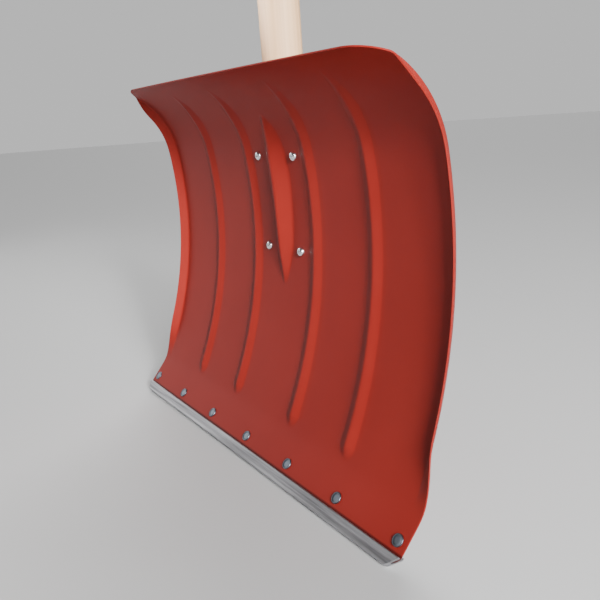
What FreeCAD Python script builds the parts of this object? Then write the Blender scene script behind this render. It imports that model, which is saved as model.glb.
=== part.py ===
"""Snow shovel: a pressed sheet-steel blade with a riveted wear strip, on a straight wooden handle.

Frame, in millimetres: the origin is the middle of the flat that scrapes the ground, +Z runs up
along the handle, +X is to the right of someone facing the hollow of the blade, and the hollow
faces -Y.  A place on the blade is given by two lengths: how far "up" from the scraping edge it
lies, along the front face of the unpressed sheet, and how far "out" from that face it stands,
towards the hollow.
"""
import FreeCAD
import Part
import Sketcher
import math
import os
from FreeCAD import Placement, Rotation, Vector

PARTS_FOLDER = "parts"
SHEET = "Sizes"
RIVET_COUNT = 7

# alias, value in mm or degrees, meaning
SIZES = [
    ("blade_width", 500, "width of the blade's blank before folding"),
    ("gauge", 1.2, "thickness of the blade's sheet"),
    ("edge_lean", 40.5, "angle from vertical of the straight run at the scraping edge"),
    ("edge_run", 36, "length of that straight run"),
    ("bend_radius", 68, "radius of the bend above the straight run"),
    ("bend_turn", 14.3, "angle of that bend"),
    ("hollow_radius", 430, "radius of the blade's main hollow"),
    ("hollow_turn", 35.1, "angle that the main hollow turns through"),
    ("lip_radius", 88.5, "radius of the lip that curls forward at the top"),
    ("lip_turn", 64.8, "angle of the lip"),
    ("top_corner", 48, "radius of the blank's top corners"),
    ("foot_corner", 10, "radius of the blank's bottom corners"),
    ("blank_foot", 4, "distance up to the blank's bottom edge"),
    ("fold_place", 239, "distance of each side fold from the middle"),
    ("fold_angle", 50, "angle that each side flange is folded forward"),
    ("fold_full", 105, "distance up from which the side flanges are fully folded"),
    ("rib_inner", 56.4, "distance of the two inner ribs from the middle"),
    ("rib_outer", 145.8, "distance of the two outer ribs from the middle"),
    ("rib_half", 10, "half the width of a rib"),
    ("rib_height", 3, "height of a rib"),
    ("rib_foot", 52, "distance up to the lower end of the ribs"),
    ("rib_top", 393, "distance up to the upper end of the ribs"),
    ("nest_radius", 21.5, "outer radius of the nest that the handle lies in"),
    ("nest_front", 66, "how far the nest's front line lies behind the scraping edge"),
    ("nest_level", 250, "height at which nest_front is taken"),
    ("nest_lean", 3, "angle that the nest leans forward"),
    ("nest_reach", 110, "half the length of the nest's tube before trimming"),
    ("strip_length", 500, "length of the wear strip"),
    ("strip_lip", 11, "height of the strip's front lip"),
    ("strip_back", 34, "height of the strip's rear flange"),
    ("strip_front", 3, "how far the strip's lip stands out from the blade's front face"),
    ("slot_front", 0.5, "how far the front wall of the strip's slot stands out"),
    ("slot_floor", 3.8, "distance up to the floor of the slot"),
    ("flange_gauge", 2, "thickness of the strip's rear flange"),
    ("seat_gap", 0.05, "gap between faces that are clamped together"),
    ("nose_round", 1.6, "rounding of the strip's two lower edges"),
    ("strip_corner", 10, "size of the cut at each lower corner of the strip"),
    ("flange_inset", 4, "how far the ends of the strip's rear flange are cut back"),
    ("rivet_pitch", 80, "distance between the strip's rivets"),
    ("rivet_row", 20.7, "distance up to the row of rivets"),
    ("rivet_head", 5.2, "radius of a rivet's head"),
    ("rivet_rise", 1.3, "height of a rivet's head"),
    ("rivet_land", 3.8, "radius of the dish in a rivet's head"),
    ("rivet_dish", 0.35, "depth of that dish"),
    ("rivet_shank", 2.45, "radius of a rivet's shank"),
    ("rivet_tail", 3.9, "radius of a rivet's formed end"),
    ("rivet_tail_rise", 1.8, "height of a rivet's formed end"),
    ("rivet_hole", 2.5, "radius of the rivet holes"),
    ("screw_hole", 2.65, "radius of the screw holes"),
    ("handle_radius", 19.5, "radius of the handle"),
    ("handle_tip", 15.8, "radius of the handle's lower end"),
    ("handle_foot", 174, "height of the handle's lower end"),
    ("handle_taper", 160, "length of the handle's taper"),
    ("handle_length", 1200, "length of the handle"),
    ("handle_tip_round", 3, "rounding of the handle's lower end"),
    ("handle_round", 9, "rounding of the handle's upper end"),
    ("handle_back", 88, "how far the handle's axis lies behind the scraping edge"),
    ("bracket_foot", 180, "height of the bracket's lower end"),
    ("bracket_top", 328, "height of the bracket's upper end"),
    ("bracket_gauge", 2, "thickness of the bracket's sheet"),
    ("bracket_gap", 0.3, "gap between the bracket and the handle"),
    ("wing_foot", 203, "distance up to the lower end of the bracket's wings"),
    ("wing_top", 325, "distance up to the upper end of the wings"),
    ("wing_half_low", 40, "half the width across the wings at their lower end"),
    ("wing_half_top", 43.5, "half the width across the wings at their upper end"),
    ("wing_corner", 7, "rounding of the wings' corners"),
    ("screw_top_up", 310, "distance up to the upper pair of screws"),
    ("screw_top_side", 33.2, "distance of the upper screws from the middle"),
    ("screw_low_up", 218.6, "distance up to the lower pair of screws"),
    ("screw_low_side", 30.1, "distance of the lower screws from the middle"),
    ("screw_head", 4.75, "radius of a screw's head"),
    ("screw_rise", 3.1, "height of a screw's head"),
    ("screw_dome", 2.2, "rounding of a screw's head"),
    ("screw_shank", 2.45, "radius of a screw's shank"),
    ("screw_reach", 11.5, "length of a screw's shank"),
    ("recess_half", 2.2, "half the width of the cross recess"),
    ("recess_slot", 0.55, "half the width of one slot of the recess"),
    ("recess_depth", 1.5, "depth of the recess"),
    ("washer_radius", 6, "outer radius of a washer"),
    ("washer_gauge", 1, "thickness of a washer"),
    ("nut_flats", 8, "distance across a nut's flats"),
    ("nut_rise", 4, "thickness of a nut"),
    ("nut_bore", 2.5, "radius of a nut's bore"),
    ("peg_head", 4.25, "radius of a wood screw's head"),
    ("peg_rise", 2.6, "height of a wood screw's head"),
    ("peg_dome", 1.8, "rounding of a wood screw's head"),
    ("peg_shank", 2, "radius of a wood screw's shank"),
    ("peg_reach", 18, "length of a wood screw's shank"),
    ("peg_point", 4, "length of a wood screw's point"),
    ("peg_hole", 2.05, "radius of the holes for the wood screws"),
    ("peg_low", 212, "height of the lower wood screw"),
    ("peg_top", 298, "height of the upper wood screw"),
]

doc = FreeCAD.newDocument("SnowShovel")


def make_sheet():
    """The spreadsheet that drives the model: a name, its value and what it is."""
    table = doc.addObject("Spreadsheet::Sheet", SHEET)
    for row, (alias, value, meaning) in enumerate(SIZES, start=1):
        table.set(f"A{row}", alias)
        table.set(f"B{row}", str(value))
        table.set(f"C{row}", meaning)
        table.setAlias(f"B{row}", alias)
    doc.recompute()
    return table


sizes = make_sheet()


def size(alias):
    """A size's present value in the sheet."""
    return float(sizes.get(alias))


def amount(terms):
    """The value of a sum of sheet sizes, given as {alias: factor}."""
    return sum(factor * size(alias) for alias, factor in terms.items())


def formula(terms):
    """The same sum, as an expression that FreeCAD keeps up to date."""
    return " + ".join(f"{factor} * {SHEET}.{alias}" for alias, factor in terms.items()) or "0"


# ---------------------------------------------------------------- places on the blade

def arcs():
    """Radius and turn, in radians, of the section's arcs from the straight run to the lip's edge."""
    return [(size(f"{name}_radius"), math.radians(size(f"{name}_turn")))
            for name in ("bend", "hollow", "lip")]


def blade_length():
    """Developed length of the section, from the scraping edge to the lip's edge."""
    return size("edge_run") + sum(radius * turn for radius, turn in arcs())


def joints_up():
    """Distances up to the places where one stretch of the section meets the next."""
    ups = [size("edge_run")]
    for radius, turn in arcs():
        ups.append(ups[-1] + radius * turn)
    return ups


def section(up):
    """(y, z, lean) of the blade's front face at a distance up; lean is in radians."""
    lean = math.radians(size("edge_lean"))
    y = min(up, size("edge_run")) * math.sin(lean)
    z = min(up, size("edge_run")) * math.cos(lean)
    left = up - size("edge_run")
    for radius, turn in arcs():
        if left <= 0:
            break
        angle = min(left / radius, turn)
        y += radius * (math.cos(lean - angle) - math.cos(lean))
        z += radius * (math.sin(lean) - math.sin(lean - angle))
        lean -= angle
        left -= radius * turn
    return y, z, lean


def outward(up):
    """Unit vector out of the blade's front face."""
    lean = section(up)[2]
    return Vector(0, -math.cos(lean), math.sin(lean))


def along(up):
    """Unit vector up along the blade's front face."""
    lean = section(up)[2]
    return Vector(0, math.sin(lean), math.cos(lean))


def edge_middle():
    """How far out the middle of the scraping flat lies: that point is the origin."""
    back = size("gauge") + size("seat_gap") + size("flange_gauge")
    return (size("strip_front") - back) / 2


def spot(up, out=0.0, across=0.0):
    """The point at a distance up, a height out and a distance across from the middle."""
    y, z, _ = section(up)
    start = outward(0) * -edge_middle()
    return Vector(across, y, z) + start + outward(up) * out


def facing(up, across=0.0, out=0.0):
    """Placement whose +Z points out of the blade's front face and whose +Y points up along it."""
    turn = Rotation(Vector(1, 0, 0), along(up), outward(up), "ZXY")
    return Placement(spot(up, out, across), turn)


# ---------------------------------------------------------------- shapes made from those places

def path_edges(low, high, out):
    """Edges that follow the blade's section from low to high at a height out."""
    stops = [low] + [up for up in joints_up() if low < up < high] + [high]
    edges = []
    for start, end in zip(stops, stops[1:]):
        first, middle, last = spot(start, out), spot((start + end) / 2, out), spot(end, out)
        straight = end <= size("edge_run") + 1e-6
        curve = Part.LineSegment(first, last) if straight else Part.Arc(first, middle, last)
        edges.append(curve.toShape())
    return edges


def band(low, high, out_low, out_high, half_width):
    """A solid between two heights out, following the blade from low to high."""
    outer = path_edges(low, high, out_high)
    inner = path_edges(low, high, out_low)
    ends = [Part.LineSegment(spot(up, out_low), spot(up, out_high)).toShape() for up in (low, high)]
    face = Part.Face(Part.Wire(Part.__sortEdges__(outer + inner + ends)))
    face.translate(Vector(-half_width, 0, 0))
    return face.extrude(Vector(2 * half_width, 0, 0))


def swept(low, high, cut):
    """A cross-cut of the blade swept from low to high; cut(up) gives its closed wire at up.

    Each stretch of the section is straight or an arc, so each is an extrusion or a revolution.
    """
    stops = [low] + [up for up in joints_up() if low < up < high] + [high]
    radii = [None] + [radius for radius, _ in arcs()]
    solids = []
    for start, end in zip(stops, stops[1:]):
        middle = (start + end) / 2
        stretch = sum(1 for up in joints_up() if up < middle)
        face = Part.Face(cut(start))
        if radii[stretch] is None:
            solids.append(face.extrude(along(start) * (end - start)))
            continue
        centre = spot(start, radii[stretch])
        angle = math.degrees((end - start) / radii[stretch])
        solids.append(face.revolve(centre, Vector(1, 0, 0), angle))
    return solids


def closed_wire(up, outline):
    """A closed wire in the cross-cut at up.

    outline holds (across, out) corners; a corner marked "arc" is the middle of an arc.
    """
    points = [(spot(up, out, across), kind) for across, out, kind in outline]
    points.append(points[0])
    edges = []
    i = 0
    while i < len(points) - 1:
        if points[i + 1][1] == "arc":
            edges.append(Part.Arc(points[i][0], points[i + 1][0], points[i + 2][0]).toShape())
            i += 2
        else:
            edges.append(Part.LineSegment(points[i][0], points[i + 1][0]).toShape())
            i += 1
    return Part.Wire(edges)


# ---------------------------------------------------------------- blade

def plain_side(half):
    """Outline of the sheet's right side where it is flat: corners as (across, out, kind)."""
    return [(half, 0, ""), (half, -size("gauge"), "")]


def folded_side():
    """Outline of the sheet's right side where its flange is folded forward, with a sharp fold."""
    fold = size("fold_place")
    return [(fold, 0, "")] + flange_edge(math.radians(size("fold_angle"))) + [(fold, -size("gauge"), "")]


def flange_edge(angle):
    """Front and back corners of the right flange's free edge when it is folded by an angle."""
    width = size("blade_width") / 2 - size("fold_place")
    across = size("fold_place") + width * math.cos(angle)
    out = width * math.sin(angle)
    gauge = size("gauge")
    return [(across, out, ""), (across + gauge * math.sin(angle), out - gauge * math.cos(angle), "")]


def rib_radius():
    """Radius of a rib's rounded front."""
    return (size("rib_half") ** 2 + size("rib_height") ** 2) / (2 * size("rib_height"))


def rib_places():
    """Distances of the ribs from the middle, from left to right."""
    inner, outer = size("rib_inner"), size("rib_outer")
    return [-outer, -inner, inner, outer]


def rib_outlines(level, height, half):
    """Arcs over the four ribs, as corners of an outline at a level out."""
    corners = []
    for place in rib_places():
        corners += [(place - half, level, ""), (place, height, "arc"), (place + half, level, "")]
    return corners


def cross_cut(up, right, ribs):
    """The closed wire of the sheet cut across at a distance up."""
    left = [(-across, out, kind) for across, out, kind in reversed(right)]
    if not ribs:
        return closed_wire(up, right + left)
    gauge, height = size("gauge"), size("rib_height")
    drop = rib_radius() - height - gauge
    back_half = math.sqrt((rib_radius() - gauge) ** 2 - drop ** 2)
    front = rib_outlines(0, height, size("rib_half"))
    back = rib_outlines(-gauge, height - gauge, back_half)
    return closed_wire(up, front + right + back[::-1] + left)


def flange_start(side, low, high):
    """The part of a side flange that goes from flat at low to fully folded at high."""
    steps = 8
    free_edges = []
    for corner in (0, 1):
        points = []
        for step in range(steps + 1):
            share = step / steps
            angle = math.radians(size("fold_angle")) * share * share * (3 - 2 * share)
            across, out, _ = flange_edge(angle)[corner]
            points.append(spot(low + (high - low) * share, out, side * across))
        curve = Part.BSplineCurve()
        curve.interpolate(points)
        free_edges.append(curve.toShape())
    folds = []
    for out in (0, -size("gauge")):
        fold = path_edges(low, high, out)[0]
        fold.translate(Vector(side * size("fold_place"), 0, 0))
        folds.append(fold)
    faces = [Part.makeRuledSurface(folds[0], free_edges[0]),
             Part.makeRuledSurface(free_edges[0], free_edges[1]),
             Part.makeRuledSurface(free_edges[1], folds[1])]
    ends = [Part.makeLine(folds[0].valueAt(at), folds[1].valueAt(at))
            for at in (folds[0].FirstParameter, folds[0].LastParameter)]
    faces.append(Part.Face(Part.Wire(Part.__sortEdges__(folds + ends))))
    for up, angle in ((low, 0), (high, math.radians(size("fold_angle")))):
        fold = size("fold_place")
        outline = [(fold, 0, "")] + flange_edge(angle) + [(fold, -size("gauge"), "")]
        placed = [(side * across, out, kind) for across, out, kind in outline]
        faces.append(Part.Face(closed_wire(up, placed)))
    shell = Part.makeShell(faces)
    shell.sewShape()
    solid = Part.makeSolid(shell)
    return solid if solid.Volume > 0 else solid.reversed()


def rib_end(place, up, way, radius, floor):
    """Half a dome that ends a rib; way is 1 at its upper end and -1 at its lower end."""
    centre = size("rib_height") - rib_radius()
    rim = math.asin((floor - centre) / radius)
    middle = (rim + math.pi / 2) / 2
    outline = [(place, floor, ""), (place + radius * math.cos(rim), floor, ""),
               (place + radius * math.cos(middle), centre + radius * math.sin(middle), "arc"),
               (place, centre + radius, "")]
    face = Part.Face(closed_wire(up, outline))
    return face.revolve(spot(up, 0, place), outward(up) * way, 180)


def nest_tube(radius):
    """The leaning cylinder that presses the nest's hollow for the handle."""
    lean = math.radians(size("nest_lean"))
    axis = Vector(0, -math.sin(lean), math.cos(lean))
    middle = Vector(0, size("nest_front") + size("nest_radius"), size("nest_level"))
    return Part.makeCylinder(radius, 2 * size("nest_reach"), middle - axis * size("nest_reach"), axis)


def corner_cutter(side, edge, radius, way):
    """What is cut off one corner of the blank: a square less a quarter disc."""
    place = edge - way * radius / 2
    reach = (spot(edge) - spot(place)).dot(along(place))
    centre = Vector(side * (size("blade_width") / 2 - radius), reach - way * radius, 0)
    margin, depth = 10, 40
    low = Vector(min(centre.x, centre.x + side * (radius + margin)),
                 min(centre.y, centre.y + way * (radius + margin)), -depth)
    square = Part.makeBox(radius + margin, radius + margin, 2 * depth, low)
    disc = Part.makeCylinder(radius, 2 * depth, Vector(centre.x, centre.y, -depth))
    cutter = square.cut(disc)
    cutter.Placement = facing(place)
    return cutter


def hole_through(up, across, radius):
    """A rod through the sheet and whatever is clamped to it."""
    depth = 8
    return Part.makeCylinder(radius, 2 * depth, spot(up, -depth, across), outward(up))


def rivet_places():
    """Distances of the rivets from the middle, from left to right."""
    middle = (RIVET_COUNT - 1) / 2
    return [(i - middle) * size("rivet_pitch") for i in range(RIVET_COUNT)]


def screw_places():
    """(up, across) of the four screws through the blade and the bracket."""
    rows = [(size("screw_top_up"), size("screw_top_side")), (size("screw_low_up"), size("screw_low_side"))]
    return [(up, side * across) for up, across in rows for side in (-1, 1)]


def blade_shape():
    """The pressed sheet: hollow, lip, side flanges, ribs, nest, corners and holes."""
    gauge, length = size("gauge"), blade_length()
    flat_top = joints_up()[1]
    rib_low = size("rib_foot") + size("rib_half")
    rib_high = size("rib_top") - size("rib_half")
    fold = plain_side(size("fold_place"))
    edge = plain_side(size("blade_width") / 2)
    pieces = swept(size("blank_foot"), flat_top, lambda up: cross_cut(up, edge, False))
    pieces += swept(flat_top, rib_low, lambda up: cross_cut(up, fold, False))
    pieces += swept(rib_low, size("fold_full"), lambda up: cross_cut(up, fold, True))
    pieces += swept(size("fold_full"), rib_high, lambda up: cross_cut(up, folded_side(), True))
    pieces += swept(rib_high, length, lambda up: cross_cut(up, folded_side(), False))
    pieces += [flange_start(side, flat_top, size("fold_full")) for side in (-1, 1)]
    hollows = []
    for place in rib_places():
        for up, way in ((rib_low, -1), (rib_high, 1)):
            pieces.append(rib_end(place, up, way, rib_radius(), -gauge / 2))
            hollows.append(rib_end(place, up, way, rib_radius() - gauge, -gauge - 1))
    front_of_sheet = band(120, length - 1, -gauge / 2, size("nest_radius"), 2 * size("nest_radius"))
    pieces.append(nest_tube(size("nest_radius")).common(front_of_sheet))
    sheet = pieces[0].multiFuse(pieces[1:])
    cutters = hollows + [nest_tube(size("nest_radius") - gauge)]
    for side in (-1, 1):
        cutters.append(corner_cutter(side, length, size("top_corner"), 1))
        cutters.append(corner_cutter(side, size("blank_foot"), size("foot_corner"), -1))
    cutters += [hole_through(size("rivet_row"), across, size("rivet_hole")) for across in rivet_places()]
    cutters += [hole_through(up, across, size("screw_hole")) for up, across in screw_places()]
    return sheet.cut(cutters).removeSplitter()


# ---------------------------------------------------------------- sketched parts

def add_body(name, placement=Placement()):
    """An empty body that is one node of the shovel."""
    body = doc.addObject("PartDesign::Body", name)
    body.Label = name
    body.Placement = placement
    return body


def add_sketch(body, plane, name, offset=Placement()):
    """A sketch on one of a body's own planes."""
    sketch = body.newObject("Sketcher::SketchObject", name)
    support = next(item for item in body.Origin.OriginFeatures if item.Role == plane)
    sketch.AttachmentSupport = [(support, "")]
    sketch.MapMode = "FlatFace"
    sketch.AttachmentOffset = offset
    return sketch


def bind(sketch, kind, items, terms):
    """A dimension in a sketch, kept equal to a sum of sheet sizes."""
    index = sketch.addConstraint(Sketcher.Constraint(kind, *items, amount(terms)))
    sketch.setExpression(f"Constraints[{index}]", formula(terms))


def bind_point(sketch, edge, end, across, up):
    """Hold the end of an edge at a place given by two sums of sheet sizes."""
    for terms, kind, axis in ((across, "DistanceX", -2), (up, "DistanceY", -1)):
        if terms:
            bind(sketch, kind, (-1, 1, edge, end), terms)
        else:
            sketch.addConstraint(Sketcher.Constraint("PointOnObject", edge, end, axis))


def bound_outline(sketch, corners):
    """A closed outline; each corner is (across, up) sums of sheet sizes.

    A third and fourth entry, a radius and a turn, make the edge that leaves the corner an arc:
    turn is 1 where it bends to the left and -1 where it bends to the right.
    """
    points = [Vector(amount(corner[0]), amount(corner[1]), 0) for corner in corners]
    starts, ends = [], []
    for i, corner in enumerate(corners):
        start, end = points[i], points[(i + 1) % len(points)]
        if len(corner) == 2:
            edge = sketch.addGeometry(Part.LineSegment(start, end))
            starts.append((edge, 1))
            ends.append((edge, 2))
            continue
        radius, turn = amount(corner[2]), corner[3]
        chord = end - start
        aside = Vector(-chord.y, chord.x, 0) / chord.Length * turn
        centre = (start + end) / 2 + aside * math.sqrt(max(0, radius ** 2 - chord.Length ** 2 / 4))
        first, last = (start, end) if turn > 0 else (end, start)
        turns = [math.atan2(point.y - centre.y, point.x - centre.x) for point in (first, last)]
        circle = Part.Circle(centre, Vector(0, 0, 1), radius)
        edge = sketch.addGeometry(Part.ArcOfCircle(circle, *turns))
        starts.append((edge, 1 if turn > 0 else 2))
        ends.append((edge, 2 if turn > 0 else 1))
        bind(sketch, "Radius", (edge,), corner[2])
    for i, corner in enumerate(corners):
        sketch.addConstraint(Sketcher.Constraint("Coincident", *ends[i - 1], *starts[i]))
        bind_point(sketch, *starts[i], corner[0], corner[1])


def bound_circle(sketch, across, up, radius):
    """A circle whose centre and radius are sums of sheet sizes."""
    centre = Vector(amount(across), amount(up), 0)
    circle = sketch.addGeometry(Part.Circle(centre, Vector(0, 0, 1), amount(radius)))
    bind(sketch, "Radius", (circle,), radius)
    bind_point(sketch, circle, 3, across, up)


def turned(body, corners):
    """Turn an outline of (radius, height) corners about the body's Z axis."""
    sketch = add_sketch(body, "XZ_Plane", f"{body.Name}_profile")
    bound_outline(sketch, corners)
    revolution = body.newObject("PartDesign::Revolution", f"{body.Name}_turned")
    revolution.Profile = sketch
    revolution.ReferenceAxis = (sketch, ["V_Axis"])
    revolution.Angle = 360
    body.Tip = revolution
    return body


def pocket(body, sketch, depth=None, both_ways=False):
    """Cut a sketch out of a body, to a depth given as a sum of sizes, or right through."""
    cut = body.newObject("PartDesign::Pocket", f"{sketch.Name}_cut")
    cut.Profile = sketch
    cut.Type = "Length" if depth else "ThroughAll"
    if depth:
        cut.setExpression("Length", formula(depth))
    cut.Midplane = both_ways
    body.Tip = cut
    return cut


# ---------------------------------------------------------------- wear strip and its rivets

def strip_tilt(normal_axis):
    """Sketch offset that lines a sketch up with the blade's straight run."""
    start = spot(0)
    if normal_axis == "X":
        return Placement(Vector(start.y, start.z, 0), Rotation(Vector(0, 0, 1), -size("edge_lean")))
    return Placement(Vector(0, start.z, -start.y), Rotation(Vector(1, 0, 0), -size("edge_lean")))


def make_strip():
    """Wear strip: a J-shaped section whose slot takes the blade's edge, riveted behind it."""
    body = add_body("wear_strip")
    section_sketch = add_sketch(body, "YZ_Plane", "strip_section", strip_tilt("X"))
    back = {"gauge": 1, "seat_gap": 1, "flange_gauge": 1}
    slot_back = {"gauge": 1, "seat_gap": 1}
    front = {"strip_front": -1}
    nose = {"nose_round": 1}
    bound_outline(section_sketch, [
        (back, {"strip_back": 1}),
        (slot_back, {"strip_back": 1}),
        (slot_back, {"slot_floor": 1}),
        ({"slot_front": -1}, {"slot_floor": 1}),
        ({"slot_front": -1}, {"strip_lip": 1}),
        (front, {"strip_lip": 1}),
        (front, nose, nose, 1),
        ({"strip_front": -1, "nose_round": 1}, {}),
        ({**back, "nose_round": -1}, {}, nose, 1),
        (back, nose),
    ])
    pad = body.newObject("PartDesign::Pad", "strip_length_pad")
    pad.Profile = section_sketch
    pad.Midplane = True
    pad.setExpression("Length", f"{SHEET}.strip_length")
    body.Tip = pad
    corners = add_sketch(body, "XZ_Plane", "strip_corners", strip_tilt("Y"))
    for side in (-1, 1):
        end = {"strip_length": side / 2}
        bound_outline(corners, [
            ({**end, "strip_corner": -side}, {"strip_corner": -0.2}),
            ({**end, "strip_corner": 0.2 * side}, {"strip_corner": -0.2}),
            ({**end, "strip_corner": 0.2 * side}, {"strip_corner": 1}),
            (end, {"strip_corner": 1}),
            ({**end, "strip_corner": -side}, {}),
        ])
        bound_outline(corners, [
            ({**end, "flange_inset": -side}, {"strip_corner": 1.2}),
            ({**end, "flange_inset": side}, {"strip_corner": 1.2}),
            ({**end, "flange_inset": side}, {"strip_back": 1, "flange_inset": 1}),
            ({**end, "flange_inset": -side}, {"strip_back": 1, "flange_inset": 1}),
        ])
    pocket(body, corners, both_ways=True)
    holes = add_sketch(body, "XZ_Plane", "strip_holes", strip_tilt("Y"))
    for i in range(RIVET_COUNT):
        steps = i - (RIVET_COUNT - 1) / 2
        bound_circle(holes, {"rivet_pitch": steps} if steps else {}, {"rivet_row": 1}, {"rivet_hole": 1})
    pocket(body, holes, both_ways=True)


def make_edge_rivet(name, across):
    """A rivet through the blade and the strip: dished flat head in front, formed end behind."""
    seat = {"seat_gap": 1}
    back = {"gauge": -1, "flange_gauge": -1, "seat_gap": -2}
    rim = {"nose_round": 0.3}
    turned(add_body(name, facing(size("rivet_row"), across)), [
        ({}, {**back, "rivet_tail_rise": -1}),
        ({"rivet_tail": 0.7}, {**back, "rivet_tail_rise": -1}, {"rivet_tail_rise": 1.2}, 1),
        ({"rivet_tail": 1}, back),
        ({"rivet_shank": 1}, back),
        ({"rivet_shank": 1}, seat),
        ({"rivet_head": 1}, seat),
        ({"rivet_head": 1}, {**seat, "rivet_rise": 1, "nose_round": -0.3}, rim, 1),
        ({"rivet_head": 1, "nose_round": -0.3}, {**seat, "rivet_rise": 1}),
        ({"rivet_land": 1}, {**seat, "rivet_rise": 1}),
        ({"rivet_land": 1, "rivet_dish": -1}, {**seat, "rivet_rise": 1, "rivet_dish": -1}),
        ({}, {**seat, "rivet_rise": 1, "rivet_dish": -1}),
    ])


# ---------------------------------------------------------------- handle

def handle_radius_at(height):
    """Radius of the handle at a height in the shovel's frame."""
    share = min(1, max(0, (height - size("handle_foot")) / size("handle_taper")))
    return size("handle_tip") + (size("handle_radius") - size("handle_tip")) * share


def make_handle():
    """Round wooden handle, tapered where the bracket holds it, with two pilot holes behind."""
    body = add_body("handle", Placement(Vector(0, size("handle_back"), size("handle_foot")), Rotation()))
    tip_round = {"handle_tip_round": 1}
    top_round = {"handle_round": 1}
    turned(body, [
        ({}, {}),
        ({"handle_tip": 1, "handle_tip_round": -1}, {}, tip_round, 1),
        ({"handle_tip": 1}, tip_round),
        ({"handle_radius": 1}, {"handle_taper": 1}),
        ({"handle_radius": 1}, {"handle_length": 1, "handle_round": -1}, top_round, 1),
        ({"handle_radius": 1, "handle_round": -1}, {"handle_length": 1}),
        ({}, {"handle_length": 1}),
    ])
    holes = add_sketch(body, "XZ_Plane", "pilot_holes")
    for height in ("peg_low", "peg_top"):
        bound_circle(holes, {}, {height: 1, "handle_foot": -1}, {"peg_hole": 1})
    pocket(body, holes, depth={"handle_radius": 1.2})


# ---------------------------------------------------------------- bracket

def saddle(extra):
    """A U that hugs the handle from behind and runs forward past the blade, as a solid."""
    wires = []
    forward = 40
    for height in (size("bracket_foot"), size("bracket_top")):
        radius = handle_radius_at(height) + extra
        y, front = size("handle_back"), size("handle_back") - forward
        corners = [Vector(-radius, front, height), Vector(-radius, y, height),
                   Vector(radius, y, height), Vector(radius, front, height)]
        edges = [Part.LineSegment(corners[0], corners[1]).toShape(),
                 Part.Arc(corners[1], Vector(0, y + radius, height), corners[2]).toShape(),
                 Part.LineSegment(corners[2], corners[3]).toShape(),
                 Part.LineSegment(corners[3], corners[0]).toShape()]
        wires.append(Part.Wire(edges))
    return Part.makeLoft(wires, True, True)


def wing_blank():
    """Outline of both wings seen from the front, as a prism with rounded corners."""
    low, high = spot(size("wing_foot")).z, spot(size("wing_top")).z
    narrow, wide, depth = size("wing_half_low"), size("wing_half_top"), 200
    corners = [Vector(across, 0, height) for across, height in
               ((-narrow, low), (narrow, low), (wide, high), (-wide, high))]
    prism = Part.Face(Part.makePolygon(corners + corners[:1])).extrude(Vector(0, depth, 0))
    upright = [edge for edge in prism.Edges if abs(edge.tangentAt(edge.FirstParameter).y) > 0.99]
    return prism.makeFillet(size("wing_corner"), upright)


def peg_seat(height):
    """How far back the outer face of the bracket lies at a height."""
    return size("handle_back") + handle_radius_at(height) + size("bracket_gap") + size("bracket_gauge")


def bracket_shape():
    """Hat-shaped sheet bracket: a U round the handle with a wing on each side against the blade."""
    back = -size("gauge") - size("seat_gap")
    behind = band(130, blade_length() - 15, back - 60, back, 60)
    wings = band(size("wing_foot") - 20, size("wing_top") + 20, back - size("bracket_gauge"), back, 60)
    wings = wings.common(wing_blank())
    outer = saddle(size("bracket_gap") + size("bracket_gauge")).common(behind)
    cutters = [saddle(size("bracket_gap"))]
    cutters += [hole_through(up, across, size("screw_hole")) for up, across in screw_places()]
    for height in (size("peg_low"), size("peg_top")):
        cutters.append(Part.makeCylinder(size("peg_hole"), 30, Vector(0, peg_seat(height) - 15, height),
                                         Vector(0, 1, 0)))
    return outer.fuse(wings).cut(cutters).removeSplitter()


def add_shape(name, shape):
    """A node whose shape is built from the sheet's sizes by the functions above."""
    item = doc.addObject("Part::Feature", name)
    item.Label = name
    item.Shape = shape
    return item


# ---------------------------------------------------------------- screws, washers and nuts

def cross_recess(body, top):
    """Cut a cross-shaped recess into a screw's head."""
    offset = Placement(Vector(0, 0, amount(top)), Rotation())
    sketch = add_sketch(body, "XY_Plane", f"{body.Name}_recess", offset)
    sketch.setExpression("AttachmentOffset.Base.z", formula(top))
    reach, slot = {"recess_half": 1}, {"recess_slot": 1}
    back_reach, back_slot = {"recess_half": -1}, {"recess_slot": -1}
    bound_outline(sketch, [
        (slot, slot), (slot, reach), (back_slot, reach), (back_slot, slot),
        (back_reach, slot), (back_reach, back_slot), (back_slot, back_slot), (back_slot, back_reach),
        (slot, back_reach), (slot, back_slot), (reach, back_slot), (reach, slot),
    ])
    pocket(body, sketch, depth={"recess_depth": 1})


def make_bracket_screw(name, up, across):
    """A domed machine screw whose head rests on the front of the blade."""
    seat = {"seat_gap": 1}
    tip = 0.5
    dome = {"screw_dome": 1}
    body = turned(add_body(name, facing(up, across)), [
        ({}, {"screw_reach": -1}),
        ({"screw_shank": 1 - tip / size("screw_shank")}, {"screw_reach": -1}),
        ({"screw_shank": 1}, {"screw_reach": -1, "screw_shank": tip / size("screw_shank")}),
        ({"screw_shank": 1}, seat),
        ({"screw_head": 1}, seat),
        ({"screw_head": 1}, {**seat, "screw_rise": 1, "screw_dome": -1}, dome, 1),
        ({"screw_head": 1, "screw_dome": -1}, {**seat, "screw_rise": 1}),
        ({}, {**seat, "screw_rise": 1}),
    ])
    cross_recess(body, {**seat, "screw_rise": 1})


def make_bracket_washer(name, up, across):
    """A flat washer against the back of a wing."""
    top = {"gauge": -1, "bracket_gauge": -1, "seat_gap": -2}
    low = {**top, "washer_gauge": -1}
    turned(add_body(name, facing(up, across)), [
        ({"screw_hole": 1}, low), ({"washer_radius": 1}, low),
        ({"washer_radius": 1}, top), ({"screw_hole": 1}, top),
    ])


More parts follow.
